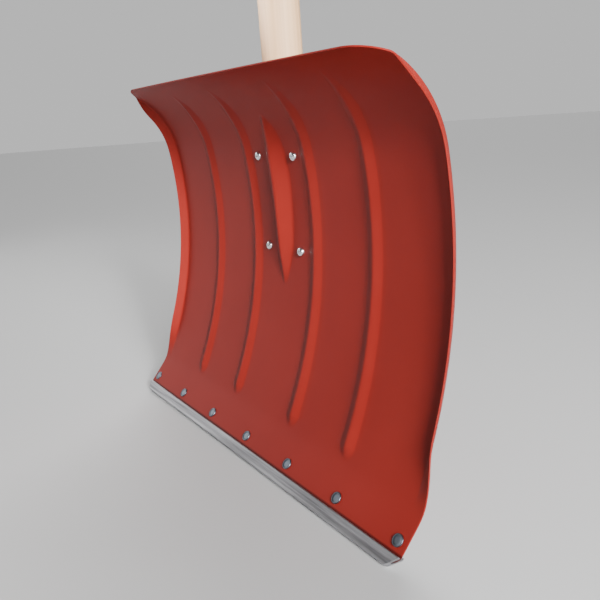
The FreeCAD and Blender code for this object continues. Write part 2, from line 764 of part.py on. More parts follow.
def make_bracket_nut(name, up, across):
    """A hexagon nut behind a washer."""
    top = {"gauge": -1, "bracket_gauge": -1, "seat_gap": -3, "washer_gauge": -1}
    low = {**top, "nut_rise": -1}
    body = add_body(name, facing(up, across))
    offset = Placement(Vector(0, 0, amount(low)), Rotation())
    sketch = add_sketch(body, "XY_Plane", f"{name}_outline", offset)
    sketch.setExpression("AttachmentOffset.Base.z", formula(low))
    corner, flat = 1 / math.sqrt(3), 1 / 2
    signs = ((1, 0), (0.5, 1), (-0.5, 1), (-1, 0), (-0.5, -1), (0.5, -1))
    bound_outline(sketch, [({"nut_flats": x * corner}, {"nut_flats": y * flat} if y else {})
                           for x, y in signs])
    bound_circle(sketch, {}, {}, {"nut_bore": 1})
    pad = body.newObject("PartDesign::Pad", f"{name}_pad")
    pad.Profile = sketch
    pad.setExpression("Length", f"{SHEET}.nut_rise")
    body.Tip = pad


def make_handle_screw(name, height):
    """A round-headed wood screw driven into the handle from behind, through the bracket."""
    turn = Rotation(Vector(1, 0, 0), Vector(0, 0, 1), Vector(0, 1, 0), "ZXY")
    seat = Vector(0, peg_seat(height) + 3 * size("seat_gap"), height)
    dome = {"peg_dome": 1}
    body = turned(add_body(name, Placement(seat, turn)), [
        ({}, {"peg_reach": -1}),
        ({"peg_shank": 1}, {"peg_reach": -1, "peg_point": 1}),
        ({"peg_shank": 1}, {}),
        ({"peg_head": 1}, {}),
        ({"peg_head": 1}, {"peg_rise": 1, "peg_dome": -1}, dome, 1),
        ({"peg_head": 1, "peg_dome": -1}, {"peg_rise": 1}),
        ({}, {"peg_rise": 1}),
    ])
    cross_recess(body, {"peg_rise": 1})


# ---------------------------------------------------------------- the shovel

def make_all():
    """Every physical piece of the shovel, each its own node."""
    add_shape("blade", blade_shape())
    make_strip()
    for i, across in enumerate(rivet_places(), start=1):
        make_edge_rivet(f"edge_rivet_{i}", across)
    make_handle()
    add_shape("handle_bracket", bracket_shape())
    for i, (up, across) in enumerate(screw_places(), start=1):
        make_bracket_screw(f"bracket_screw_{i}", up, across)
        make_bracket_washer(f"bracket_washer_{i}", up, across)
        make_bracket_nut(f"bracket_nut_{i}", up, across)
    for i, height in enumerate((size("peg_low"), size("peg_top")), start=1):
        make_handle_screw(f"handle_screw_{i}", height)


def check_and_export():
    """Recompute, refuse a broken piece, and write each node's STEP file."""
    doc.recompute()
    broken = [item.Label for item in doc.Objects if {"Invalid", "Error"} & set(item.State)]
    nodes = [item for item in doc.Objects if item.TypeId in ("PartDesign::Body", "Part::Feature")]
    for item in nodes:
        shape = item.Shape
        if shape.isNull() or not shape.isValid() or len(shape.Solids) != 1:
            broken.append(item.Label)
            continue
        shape.exportStep(os.path.join(PARTS_FOLDER, f"{item.Label}.step"))
        print(f"{item.Label}: {shape.Volume:.0f} mm3")
    if broken:
        raise RuntimeError(f"broken pieces: {sorted(set(broken))}")


os.makedirs(PARTS_FOLDER, exist_ok=True)
make_all()
check_and_export()
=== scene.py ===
"""Looks of the snow shovel, built round its CAD frame.  Metres; +Z up, the blade's hollow faces -Y.

Shapes are worked out in millimetres and become metres where points are made.  A place on the blade
is measured on its flat sheet: up from the scraping edge, across from the middle, and out from the
front face.
"""
import math

import bmesh
import bpy
from mathutils import Matrix, Vector
from mathutils.geometry import tessellate_polygon


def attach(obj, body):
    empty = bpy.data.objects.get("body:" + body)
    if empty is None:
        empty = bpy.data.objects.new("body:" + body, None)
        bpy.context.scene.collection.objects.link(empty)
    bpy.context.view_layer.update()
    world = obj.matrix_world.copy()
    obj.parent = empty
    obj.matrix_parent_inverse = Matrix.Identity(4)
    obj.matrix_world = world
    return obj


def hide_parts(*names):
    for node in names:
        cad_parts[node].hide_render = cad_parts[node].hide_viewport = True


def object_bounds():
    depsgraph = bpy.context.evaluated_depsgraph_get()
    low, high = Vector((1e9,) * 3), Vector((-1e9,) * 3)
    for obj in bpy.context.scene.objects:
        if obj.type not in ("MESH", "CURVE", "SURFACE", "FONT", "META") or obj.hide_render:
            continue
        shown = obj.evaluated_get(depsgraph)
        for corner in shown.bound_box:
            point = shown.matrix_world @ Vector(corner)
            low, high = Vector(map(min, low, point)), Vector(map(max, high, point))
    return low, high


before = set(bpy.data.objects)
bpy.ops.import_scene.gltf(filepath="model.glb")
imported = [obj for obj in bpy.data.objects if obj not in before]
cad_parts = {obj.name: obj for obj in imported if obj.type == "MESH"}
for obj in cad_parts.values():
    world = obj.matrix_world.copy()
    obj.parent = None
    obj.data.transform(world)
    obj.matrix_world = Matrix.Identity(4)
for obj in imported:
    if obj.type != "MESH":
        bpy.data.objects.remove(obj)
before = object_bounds()

MM = 0.001

# ---- the CAD's own sizes, in millimetres

EDGE_LEAN = math.radians(40.5)
EDGE_RUN = 36.0
ARCS = ((68.0, math.radians(14.3)), (430.0, math.radians(35.1)), (88.5, math.radians(64.8)))
GAUGE = 1.2
HALF_WIDTH = 250.0
TOP_CORNER = 48.0
FOOT_CORNER = 10.0
BLANK_FOOT = 4.0
FOLD_PLACE = 239.0
FOLD_ANGLE = math.radians(50)
RIB_INNER = 56.4
RIB_OUTER = 145.8
RIB_PLACES = (-RIB_OUTER, -RIB_INNER, RIB_INNER, RIB_OUTER)
STRIP_FRONT = 3.0
STRIP_LIP = 11.0
STRIP_BACK = 34.0
STRIP_CORNER = 10.0
FLANGE_INSET = 4.0
FLANGE_STEP = 12.0
FLANGE_GAUGE = 2.0
SLOT_FRONT = 0.5
SLOT_FLOOR = 3.8
SEAT_GAP = 0.05
NOSE_ROUND = 1.6
RIVET_PLACES = [80.0 * step for step in range(-3, 4)]
RIVET_ROW = 20.7
RIVET_HEAD = 5.2
RIVET_RISE = 1.3
RIVET_SHANK = 2.45
RIVET_TAIL = 3.9
RIVET_TAIL_RISE = 1.8
SCREW_PLACES = ((310.0, -33.2), (310.0, 33.2), (218.6, -30.1), (218.6, 30.1))
SCREW_HEAD = 4.75
SCREW_RISE = 3.1
SCREW_SHANK = 2.45
SCREW_REACH = 11.5
CROSS_REACH = 2.2
CROSS_SLOT = 0.55
CROSS_DEPTH = 1.5
HANDLE_BACK = 88.0
HANDLE_FOOT = 174.0
HANDLE_TAPER = 160.0
HANDLE_LENGTH = 1200.0
HANDLE_RADIUS = 19.5
HANDLE_TIP = 15.8
HANDLE_TIP_ROUND = 3.0
HANDLE_ROUND = 9.0

# ---- the finer shapes that only the visual model has, in millimetres

FOLD_ROUND = 4.0
FOLD_FADE = (42.0, 104.0)  # the side folds grow to their full angle between these distances up
CROWN = 1.6  # how much lower the top edge is at the sides
RIB_HALF = 10.5
RIB_HEIGHT = 3.6
RIB_LOW_RUN = (51.0, 64.0)  # the ribs rise between these distances up
RIB_TOP_RUN = (349.0, 395.0)  # and fade between these
RIB_END_SHARES = (0.6, 0.3)  # the share of its width that a rib keeps at its lower and upper end
RIB_ROOF = (0.2, 0.14)  # the rounded shares of a rib's crest and foot
# the nest's height and half its width at distances up
NEST_UPS = (183.0, 203.0, 222.0, 250.0, 276.0, 300.0, 318.0, 336.0, 352.0)
NEST_HEIGHTS = (0.0, 4.6, 8.3, 10.2, 10.5, 10.0, 8.6, 5.4, 0.0)
NEST_HALVES = (4.0, 10.0, 14.6, 16.2, 18.2, 18.6, 16.8, 11.6, 2.0)
NEST_ROOF = (0.2, 0.12)
GROOVE_UP = 5.6  # the middle of the groove along the strip's lip
# (height from that middle, depth)
GROOVE = ((-1.2, 0.0), (-1.0, 0.06), (-0.6, 0.22), (0.0, 0.26), (0.6, 0.22), (1.0, 0.06), (1.2, 0.0))
LIP_ROUND = 0.7
LIP_CHAMFER = 0.4
FRONT_CHAMFER = 0.3  # of the top of the strip's rear flange
BACK_CHAMFER = 0.5
STEP_RISE = 0.01  # height over which the strip's ends step back to its rear flange
RIVET_ROUND = 0.6
RIVET_DISH = ((4.1, 0.0), (3.85, 0.15), (3.5, 0.33), (2.6, 0.35), (0.0, 0.35))  # (radius, depth)
RIVET_TAIL_FLAT = 2.2
RIVET_TAIL_ROUND = 1.5
SCREW_TIP = (1.9, 0.5)  # radius of the chamfered tip, and the chamfer's height
SCREW_BRIM = 0.75
SCREW_DOME = (2.3, 0.72, 2.42)  # radius and height of the dome's centre, and its own radius
SCREW_FLAT = 1.0
CROSS_CLEAR = 0.5  # how far the cutter stands out of the head
CROSS_TAPER = 0.6  # the share of its width that the recess keeps at its floor
TAPER_RING = 20  # distance between rings of points on the handle's taper
SHAFT_RING = 40  # and on its straight shaft

# ---- how finely the blade is divided: (up to this place, step), denser where the shape turns

RIB_BAND = 11.0  # half the width of the finely divided band over a rib
COLUMN_STEPS = ((26.0, 1.0), (RIB_INNER - RIB_BAND, 3.0), (RIB_INNER + RIB_BAND, 0.8),
                (RIB_OUTER - RIB_BAND, 6.0), (RIB_OUTER + RIB_BAND, 0.8), (HALF_WIDTH - TOP_CORNER, 5.0))
BLADE_LENGTH = EDGE_RUN + sum(radius * turn for radius, turn in ARCS)
ROW_STEPS = ((16.0, 1.5), (46.0, 3.0), (84.0, 1.6), (180.0, 3.5), (215.0, 2.0), (330.0, 3.0),
             (BLADE_LENGTH, 1.6))
FOOT_BAND = 24.0  # rows below this distance up bend with the blank's lower outline
TOP_BAND = 86.0  # rows nearer than this to the top bend with its upper outline


# ---------------------------------------------------------------- places on the blade

EDGE_MIDDLE = (STRIP_FRONT - GAUGE - SEAT_GAP - FLANGE_GAUGE) / 2


def section(up):
    """(y, z, lean) of the blade's front face at a distance up from the scraping edge."""
    lean = EDGE_LEAN
    y = min(up, EDGE_RUN) * math.sin(lean)
    z = min(up, EDGE_RUN) * math.cos(lean)
    left = up - EDGE_RUN
    for radius, turn in ARCS:
        if left <= 0:
            break
        angle = min(left / radius, turn)
        y += radius * (math.cos(lean - angle) - math.cos(lean))
        z += radius * (math.sin(lean) - math.sin(lean - angle))
        lean -= angle
        left -= radius * turn
    return y, z, lean


def outward(up):
    """The direction out of the blade's front face."""
    lean = section(up)[2]
    return Vector((0, -math.cos(lean), math.sin(lean)))


def along(up):
    """The direction up along the blade's front face."""
    lean = section(up)[2]
    return Vector((0, math.sin(lean), math.cos(lean)))


def spot(up, out=0.0, across=0.0):
    """The point, in metres, at a place on the blade; the origin is the middle of the strip's foot."""
    y, z, _ = section(up)
    shift = outward(0) * -EDGE_MIDDLE
    return (Vector((across, y, z)) + shift + outward(up) * out) * MM


def facing(up, across):
    """Matrix to a place on the blade, in metres, whose +Z points out of it and +Y up along it."""
    basis = Matrix((Vector((1, 0, 0)), along(up), outward(up))).transposed().to_4x4()
    return Matrix.Translation(spot(up, 0, across)) @ basis


def smooth(low, high, value):
    """0 below low, 1 above high, and an S-curve between."""
    share = min(1.0, max(0.0, (value - low) / (high - low)))
    return share * share * (3 - 2 * share)


def curve_at(places, values, place):
    """A smooth cubic curve through values at places, flat outside them."""
    if place <= places[0]:
        return values[0]
    if place >= places[-1]:
        return values[-1]
    i = max(k for k in range(len(places) - 1) if places[k] <= place)
    slopes = []
    for k in (i, i + 1):
        low, high = max(0, k - 1), min(len(places) - 1, k + 1)
        slopes.append((values[high] - values[low]) / (places[high] - places[low]))
    span = places[i + 1] - places[i]
    t = (place - places[i]) / span
    return ((2 * t ** 3 - 3 * t ** 2 + 1) * values[i] + (t ** 3 - 2 * t ** 2 + t) * span * slopes[0]
            + (3 * t ** 2 - 2 * t ** 3) * values[i + 1] + (t ** 3 - t ** 2) * span * slopes[1])


# ---------------------------------------------------------------- meshes

WELD = 1e-7  # points nearer than this, in metres, are one


def new_object(name, mesh, node, coat):
    """Put a mesh in the scene as a piece that stands for a CAD node."""
    piece = bpy.data.objects.new(name, mesh)
    bpy.context.scene.collection.objects.link(piece)
    mesh.materials.append(coat)
    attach(piece, "root")
    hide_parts(node)


def mesh_of(name, points, faces, sharp):
    """A smooth-shaded mesh from points in metres; edges sharper than an angle in degrees stay crisp.

    At 180 degrees no edge does.
    """
    mesh = bpy.data.meshes.new(name)
    mesh.from_pydata([tuple(point) for point in points], [], faces)
    shape = bmesh.new()
    shape.from_mesh(mesh)
    bmesh.ops.remove_doubles(shape, verts=shape.verts, dist=WELD)
    bmesh.ops.recalc_face_normals(shape, faces=shape.faces)
    for face in shape.faces:
        face.smooth = True
    for edge in shape.edges:
        if len(edge.link_faces) == 2 and edge.calc_face_angle(0) > math.radians(sharp):
            edge.smooth = False
    shape.to_mesh(mesh)
    shape.free()
    return mesh


def ring_faces(rings, count):
    """Faces between rings of points, each ring joined to the next and closed round."""
    faces = []
    for ring in range(rings - 1):
        for i in range(count):
            after = (i + 1) % count
            faces.append((ring * count + i, ring * count + after,
                          (ring + 1) * count + after, (ring + 1) * count + i))
    return faces


def lathe(name, profile, place, steps=64):
    """Turn a (radius, height) profile in millimetres about +Z and set it at a place."""
    points = []
    for radius, height in profile:
        for step in range(steps):
            turn = 2 * math.pi * step / steps
            local = Vector((radius * math.cos(turn), radius * math.sin(turn), height)) * MM
            points.append(place @ local)
    return mesh_of(name, points, ring_faces(len(profile), steps), sharp=35)


def arc_points(centre_x, centre_y, radius, first, last, steps=6):
    """Points of an arc in a profile, from one angle to another in degrees."""
    turns = [math.radians(first + (last - first) * i / steps) for i in range(steps + 1)]
    return [(centre_x + radius * math.cos(t), centre_y + radius * math.sin(t)) for t in turns]


# ---------------------------------------------------------------- blade

def roof(share, crest, foot):
    """Height, from 1 to 0, of a ridge with straight sides, a rounded crest and a rounded foot."""
    if share < crest:
        return 1 - (share * share / crest + crest) / 2
    if share < 1 - foot:
        return 1 - share
    if share < 1 + foot:
        return (1 + foot - share) ** 2 / (4 * foot)
    return 0.0


def rib_height(across, up):
    """Height of the pressed ribs, which narrow and sink into the sheet at both ends."""
    low_run = smooth(*RIB_LOW_RUN, up)
    top_run = 1 - smooth(*RIB_TOP_RUN, up)
    low_share, top_share = RIB_END_SHARES
    half = RIB_HALF * min(low_share + (1 - low_share) * low_run, top_share + (1 - top_share) * top_run)
    ridge = max(roof(abs(across - place) / half, *RIB_ROOF) for place in RIB_PLACES)
    return RIB_HEIGHT * min(low_run, top_run) * ridge


def nest_height(across, up):
    """Height of the nest pressed forward for the handle: a ridge that fades out at both ends."""
    top = curve_at(NEST_UPS, NEST_HEIGHTS, up)
    half = curve_at(NEST_UPS, NEST_HALVES, up)
    return top * roof(abs(across) / half, *NEST_ROOF)


def fold_angle(up):
    """The angle that the side flanges are folded by, less and less towards the scraping edge."""
    return FOLD_ANGLE * smooth(*FOLD_FADE, up)


def sheet_point(across, up, depth):
    """A point of the sheet, from its place on the flat blank and its depth behind the front face."""
    side = 1 if across >= 0 else -1
    reach = abs(across)
    angle = fold_angle(up)
    start = FOLD_PLACE - FOLD_ROUND * math.tan(angle / 2)
    x, out, turn = reach, 0.0, 0.0
    if reach > start:
        turn = min(angle, (reach - start) / FOLD_ROUND)
        rest = reach - start - FOLD_ROUND * turn
        x = start + FOLD_ROUND * math.sin(turn) + rest * math.cos(angle)
        out = FOLD_ROUND * (1 - math.cos(turn)) + rest * math.sin(angle)
    x += depth * math.sin(turn)
    out -= depth * math.cos(turn)
    out += rib_height(across, up) + nest_height(across, up)
    return spot(up, out, side * x)


def stretches(start, parts):
    """Places from a start to just before the last part's end; each part is (end, step)."""
    places = []
    for end, step in parts:
        count = max(1, round((end - start) / step))
        places += [start + (end - start) * i / count for i in range(count)]
        start = end
    return places


def blade_columns():
    """Places across the blank, out to its round corners."""
    corner = HALF_WIDTH - TOP_CORNER
    half = stretches(0, COLUMN_STEPS)
    half += [corner + TOP_CORNER * math.sin(math.radians(turn)) for turn in range(0, 91, 2)]
    return [-place for place in half[:0:-1]] + half


def blade_rows():
    """Distances up the blank."""
    return stretches(BLANK_FOOT, ROW_STEPS) + [BLADE_LENGTH]


def corner_cut(reach, radius):
    """How far a round corner of the blank draws its edge in, at a distance from the middle."""
    beyond = max(0.0, reach - (HALF_WIDTH - radius))
    return radius - math.sqrt(max(0.0, radius ** 2 - beyond ** 2))


def trimmed(across, up):
    """Bring a row's distance up inside the blank's outline, with its round corners and crowned top."""
    reach = abs(across)
    high = BLADE_LENGTH - TOP_BAND
    if up > high:
        top = BLADE_LENGTH - CROWN * (reach / HALF_WIDTH) ** 2 - corner_cut(reach, TOP_CORNER)
        return high + (up - high) * (top - high) / TOP_BAND
    if up < FOOT_BAND:
        foot = BLANK_FOOT + corner_cut(reach, FOOT_CORNER)
        return foot + (up - BLANK_FOOT) * (FOOT_BAND - foot) / (FOOT_BAND - BLANK_FOOT)
    return up


def rim_of(wide, tall):
    """Indices round the edge of a grid of points, in order."""
    rim = list(range(wide))
    rim += [i * wide + wide - 1 for i in range(1, tall)]
    rim += [(tall - 1) * wide + k for k in range(wide - 2, -1, -1)]
    rim += [i * wide for i in range(tall - 2, 0, -1)]
    return rim


def blade_mesh():
    """The pressed sheet, front and back, closed round its rim by two bands that meet half-way."""
    columns, rows = blade_columns(), blade_rows()
    wide, tall = len(columns), len(rows)
    layer = wide * tall
    points, faces = [], []
    for depth in (0.0, GAUGE):
        for row in rows:
            points += [sheet_point(column, trimmed(column, row), depth) for column in columns]
    for i in range(tall - 1):
        for k in range(wide - 1):
            front = i * wide + k
            back = front + layer
            faces.append((front, front + 1, front + wide + 1, front + wide))
            faces.append((back, back + wide, back + wide + 1, back + 1))
    rim = rim_of(wide, tall)
    points += [(points[index] + points[index + layer]) / 2 for index in rim]
    for i, index in enumerate(rim):
        following = (i + 1) % len(rim)
        middle, after = 2 * layer + i, 2 * layer + following
        faces.append((index, rim[following], after, middle))
        faces.append((middle, after, rim[following] + layer, index + layer))
    return mesh_of("blade_sheet", points, faces, sharp=50)


# ---------------------------------------------------------------- wear strip

STRIP_STATIONS = (-1, -0.6, -0.2, 0.2, 0.6, 1)  # places along the strip, as shares of half its length


def strip_section():
    """(out, up) corners of the strip's J-shaped section, with its groove and rounded edges.

    The points half-way up straight sides are where the strip's ends change direction.
    """
    slot_back = -(GAUGE + SEAT_GAP)
    back = slot_back - FLANGE_GAUGE
    step = (FLANGE_STEP, FLANGE_STEP + STEP_RISE)
    low_front = arc_points(STRIP_FRONT - NOSE_ROUND, NOSE_ROUND, NOSE_ROUND, -90, 0)
    groove = [(STRIP_FRONT - dip, GROOVE_UP + rise) for rise, dip in GROOVE]
    lip = [(STRIP_FRONT, STRIP_CORNER)]
    lip += arc_points(STRIP_FRONT - LIP_ROUND, STRIP_LIP - LIP_ROUND, LIP_ROUND, 0, 90, 2)
    lip += [(SLOT_FRONT + LIP_CHAMFER, STRIP_LIP), (SLOT_FRONT, STRIP_LIP - LIP_CHAMFER)]
    slot = [(SLOT_FRONT, STRIP_CORNER), (SLOT_FRONT, SLOT_FLOOR),
            (slot_back, SLOT_FLOOR), (slot_back, STRIP_CORNER)]
    flange = [(slot_back, up) for up in step]
    flange += [(slot_back, STRIP_BACK - FRONT_CHAMFER), (slot_back - FRONT_CHAMFER, STRIP_BACK)]
    flange += [(back + BACK_CHAMFER, STRIP_BACK), (back, STRIP_BACK - BACK_CHAMFER)]
    flange += [(back, up) for up in reversed(step)]
    low_back = [(back, STRIP_CORNER)] + arc_points(back + NOSE_ROUND, NOSE_ROUND, NOSE_ROUND, 180, 270)
    return low_front + groove + lip + slot + flange + low_back


def strip_end(up):
    """Half the strip's length at a height: lower corners cut off, rear flange cut back."""
    inset = FLANGE_INSET if up > FLANGE_STEP else 0.0
    return HALF_WIDTH - max(0.0, STRIP_CORNER - up) - inset


def strip_mesh():
    """The section drawn out along the scraping edge and closed at both ends."""
    corners = strip_section()
    count = len(corners)
    points = []
    for station in STRIP_STATIONS:
        points += [spot(up, out, station * strip_end(up)) for out, up in corners]
    # each end is closed across the step, below it and above it
    upper = [i for i, (_, up) in enumerate(corners) if up > FLANGE_STEP]
    lower = [i for i in range(count) if i not in upper]
    caps = [(upper[0] - 1, upper[0], upper[-1], upper[-1] + 1)]
    for group in (lower, upper):
        for triple in tessellate_polygon([[Vector((*corners[i], 0)) for i in group]]):
            caps.append(tuple(group[k] for k in triple))
    last = (len(STRIP_STATIONS) - 1) * count
    faces = ring_faces(len(STRIP_STATIONS), count) + caps
    faces += [tuple(last + index for index in reversed(cap)) for cap in caps]
    return mesh_of("strip", points, faces, sharp=28)


# ---------------------------------------------------------------- rivets, screws and handle

def rivet_profile():
    """A flat, dished head in front, a shank and a rounded formed end behind."""
    back = -(GAUGE + FLANGE_GAUGE + 2 * SEAT_GAP)
    foot = back - RIVET_TAIL_RISE
    top = SEAT_GAP + RIVET_RISE
    tail = [(0, foot), (RIVET_TAIL_FLAT, foot)]
    tail += arc_points(RIVET_TAIL - RIVET_TAIL_ROUND, foot + RIVET_TAIL_ROUND, RIVET_TAIL_ROUND, -90, 0, 5)
    shank = [(RIVET_TAIL, back), (RIVET_SHANK, back), (RIVET_SHANK, SEAT_GAP)]
    head = [(RIVET_HEAD, SEAT_GAP)]
    head += arc_points(RIVET_HEAD - RIVET_ROUND, top - RIVET_ROUND, RIVET_ROUND, 0, 90, 5)
    dish = [(radius, top - depth) for radius, depth in RIVET_DISH]
    return tail + shank + head + dish


def screw_profile():
    """A domed head on a plain shank with a chamfered tip."""
    tip, chamfer = SCREW_TIP
    top = SEAT_GAP + SCREW_RISE
    shank = [(0, -SCREW_REACH), (tip, -SCREW_REACH), (SCREW_SHANK, chamfer - SCREW_REACH)]
    shank += [(SCREW_SHANK, SEAT_GAP)]
    head = [(SCREW_HEAD, SEAT_GAP), (SCREW_HEAD, SCREW_BRIM)] + arc_points(*SCREW_DOME, 6, 90, 10)
    return shank + head + [(SCREW_FLAT, top), (0, top)]


def cross_outline():
    """Corners of the cross recess: those of one arm, turned to all four sides."""
    arm = [(CROSS_SLOT, CROSS_SLOT), (CROSS_SLOT, CROSS_REACH), (-CROSS_SLOT, CROSS_REACH)]
    outline = []
    for _ in range(4):
        outline += arm
        arm = [(-y, x) for x, y in arm]
    return outline


def cross_cutter(place, top):
    """The solid that leaves a tapering cross recess below a height."""
    outline = cross_outline()
    count = len(outline)
    points = []
    for height, shrink in ((top + CROSS_CLEAR, 1.0), (top - CROSS_DEPTH, CROSS_TAPER)):
        points += [place @ (Vector((x * shrink, y * shrink, height)) * MM) for x, y in outline]
    faces = ring_faces(2, count) + [tuple(range(count)), tuple(range(2 * count - 1, count - 1, -1))]
    return mesh_of("cutter", points, faces, sharp=180)


def cut_cross(name, mesh, place, top):
    """Cut a cross recess into a screw's head."""
    cutter = bpy.data.objects.new("cutter", cross_cutter(place, top))
    head = bpy.data.objects.new(name, mesh)
    for item in (cutter, head):
        bpy.context.scene.collection.objects.link(item)
    change = head.modifiers.new("recess", "BOOLEAN")
    change.operation = "DIFFERENCE"
    change.solver = "EXACT"
    change.object = cutter
    bpy.context.view_layer.update()
    cut = bpy.data.meshes.new_from_object(head.evaluated_get(bpy.context.evaluated_depsgraph_get()))
    for item in (cutter, head):
        bpy.data.objects.remove(item)
    return cut


def handle_profile():
    """A tapered foot, a straight shaft and a rounded end; the rings on the way keep the shading even."""
    tip = arc_points(HANDLE_TIP - HANDLE_TIP_ROUND, HANDLE_TIP_ROUND, HANDLE_TIP_ROUND, -90, 0, 5)
    taper = []
    for height in range(TAPER_RING, int(HANDLE_TAPER) + 1, TAPER_RING):
        taper.append((HANDLE_TIP + (HANDLE_RADIUS - HANDLE_TIP) * height / HANDLE_TAPER, height))
    shaft_foot, shaft_top = int(HANDLE_TAPER), int(HANDLE_LENGTH - HANDLE_ROUND)
    shaft = [(HANDLE_RADIUS, height) for height in range(shaft_foot + SHAFT_RING, shaft_top, SHAFT_RING)]
    top = arc_points(HANDLE_RADIUS - HANDLE_ROUND, HANDLE_LENGTH - HANDLE_ROUND, HANDLE_ROUND, 0, 90, 10)
    return [(0, 0)] + tip + taper + shaft + top + [(0, HANDLE_LENGTH)]


# ---------------------------------------------------------------- materials

# colours are linear (r, g, b); a ramp's stops are (place, colour)
PAINT_REDS = ((0.3, (0.2, 0.0138, 0.0096)), (0.7, (0.222, 0.0166, 0.0118)))
STRIP_GREYS = ((0.3, (0.19, 0.187, 0.197)), (0.5, (0.35, 0.346, 0.36)), (0.68, (0.48, 0.475, 0.49)))
WOOD_BROWNS = ((0.3, (0.47, 0.255, 0.12)), (0.48, (0.62, 0.385, 0.205)), (0.7, (0.72, 0.48, 0.28)))
RIVET_GREY = (0.15, 0.17, 0.2)
BRACKET_GREY = (0.5, 0.51, 0.52)
FASTENER_GREY = (0.76, 0.76, 0.78)
BUMP_DEPTH = 0.0003
# the painted shade line just above the wear strip: heights in metres, and the shares of the paint's colour
# that are left at them
ABOVE_STRIP_SHADE = {"From Min": 0.0093, "From Max": 0.0102, "To Min": 0.3, "To Max": 1.0}


def material(name):
    """A new material, its nodes, its links and its shader."""
    item = bpy.data.materials.new(name)
    item.use_nodes = True
    nodes = item.node_tree.nodes
    return item, nodes, item.node_tree.links, nodes["Principled BSDF"]


def noise(nodes, links, scale, detail, stretch=(1, 1, 1)):
    """Noise over the object's own coordinates, drawn out along the axis whose stretch is small."""
    place = nodes.new("ShaderNodeTexCoord")
    mapping = nodes.new("ShaderNodeMapping")
    mapping.inputs["Scale"].default_value = stretch
    grain = nodes.new("ShaderNodeTexNoise")
    grain.inputs["Scale"].default_value = scale
    grain.inputs["Detail"].default_value = detail
    links.new(place.outputs["Object"], mapping.inputs["Vector"])
    links.new(mapping.outputs["Vector"], grain.inputs["Vector"])
    return grain.outputs["Fac"]


def ramp(nodes, links, source, stops):
    """Colours that follow a value."""
    item = nodes.new("ShaderNodeValToRGB")
    elements = item.color_ramp.elements
    while len(elements) < len(stops):
        elements.new(0.5)
    for element, (place, colour) in zip(elements, stops):
        element.position = place
        element.color = (*colour, 1)
    links.new(source, item.inputs["Fac"])
    return item.outputs["Color"]


def bump(nodes, links, source, shader, strength, depth=BUMP_DEPTH):
    """Roughen a shader's surface by a value, to a depth in metres."""
    item = nodes.new("ShaderNodeBump")
    item.inputs["Strength"].default_value = strength
    item.inputs["Distance"].default_value = depth
    links.new(source, item.inputs["Height"])
    links.new(item.outputs["Normal"], shader.inputs["Normal"])


def painted_strip_shade(nodes, links, colour):
    """Paint shade into a colour: darken it below a height, in the corner just above the wear strip."""
    place = nodes.new("ShaderNodeTexCoord")
    split = nodes.new("ShaderNodeSeparateXYZ")
    links.new(place.outputs["Object"], split.inputs["Vector"])
    # the share of the colour left outside the painted shade
    unshaded_share = nodes.new("ShaderNodeMapRange")
    links.new(split.outputs["Z"], unshaded_share.inputs["Value"])
    for key, value in ABOVE_STRIP_SHADE.items():
        unshaded_share.inputs[key].default_value = value
    shade = nodes.new("ShaderNodeVectorMath")
    shade.operation = "SCALE"
    links.new(colour, shade.inputs["Vector"])
    links.new(unshaded_share.outputs["Result"], shade.inputs["Scale"])
    return shade.outputs["Vector"]


def blade_paint():
    """Dark red paint, slightly mottled, with a painted shade line just above the wear strip, a fine
    roughness and a weak gloss.
    """
    item, nodes, links, shader = material("blade_paint")
    red = ramp(nodes, links, noise(nodes, links, scale=9, detail=3), PAINT_REDS)
    # a painted shade line darkens the paint in the corner just above the wear strip
    links.new(painted_strip_shade(nodes, links, red), shader.inputs["Base Color"])
    shader.inputs["Roughness"].default_value = 0.5
    shader.inputs["Specular IOR Level"].default_value = 0.12
    bump(nodes, links, noise(nodes, links, scale=420, detail=2), shader, strength=0.12, depth=0.0004)
    return item


def metal(name, colour, roughness, scale=300, strength=0.1):
    """Plain metal of one colour, roughened by noise of a scale and strength."""
    item, nodes, links, shader = material(name)
    shader.inputs["Base Color"].default_value = (*colour, 1)
    shader.inputs["Metallic"].default_value = 1.0
    shader.inputs["Roughness"].default_value = roughness
    bump(nodes, links, noise(nodes, links, scale, detail=3), shader, strength)
    return item


def strip_coat():
    """Bright metal, dulled in streaks along the strip."""
    item, nodes, links, shader = material("strip_metal")
    streaks = noise(nodes, links, scale=320, detail=4, stretch=(0.03, 1, 1))
    links.new(ramp(nodes, links, streaks, STRIP_GREYS), shader.inputs["Base Color"])
    shader.inputs["Metallic"].default_value = 1.0
    shader.inputs["Roughness"].default_value = 0.48
    bump(nodes, links, streaks, shader, strength=0.35)
    return item


def handle_wood():
    """Pale wood: fine grain and a broader figure, both drawn out along the handle."""
    item, nodes, links, shader = material("handle_wood")
    grain = noise(nodes, links, scale=260, detail=6, stretch=(1, 1, 0.02))
    figure = noise(nodes, links, scale=40, detail=3, stretch=(1, 1, 0.03))
    mix = nodes.new("ShaderNodeMix")
    mix.inputs["Factor"].default_value = 0.45
    links.new(grain, mix.inputs["A"])
    links.new(figure, mix.inputs["B"])
    links.new(ramp(nodes, links, mix.outputs["Result"], WOOD_BROWNS), shader.inputs["Base Color"])
    shader.inputs["Roughness"].default_value = 0.6
    bump(nodes, links, grain, shader, strength=0.15)
    return item


# ---------------------------------------------------------------- the pieces

paint = blade_paint()
strip_metal = strip_coat()
rivet_metal = metal("rivet_metal", RIVET_GREY, roughness=0.4)
bracket_metal = metal("bracket_metal", BRACKET_GREY, roughness=0.42, scale=60, strength=0.15)
fastener_metal = metal("fastener_metal", FASTENER_GREY, roughness=0.27)
wood = handle_wood()

new_object("blade_sheet", blade_mesh(), "blade", paint)
new_object("strip", strip_mesh(), "wear_strip", strip_metal)

for i, across in enumerate(RIVET_PLACES, start=1):
    name = f"rivet_{i}"
    rivet = lathe(name, rivet_profile(), facing(RIVET_ROW, across))
    new_object(name, rivet, f"edge_rivet_{i}", rivet_metal)

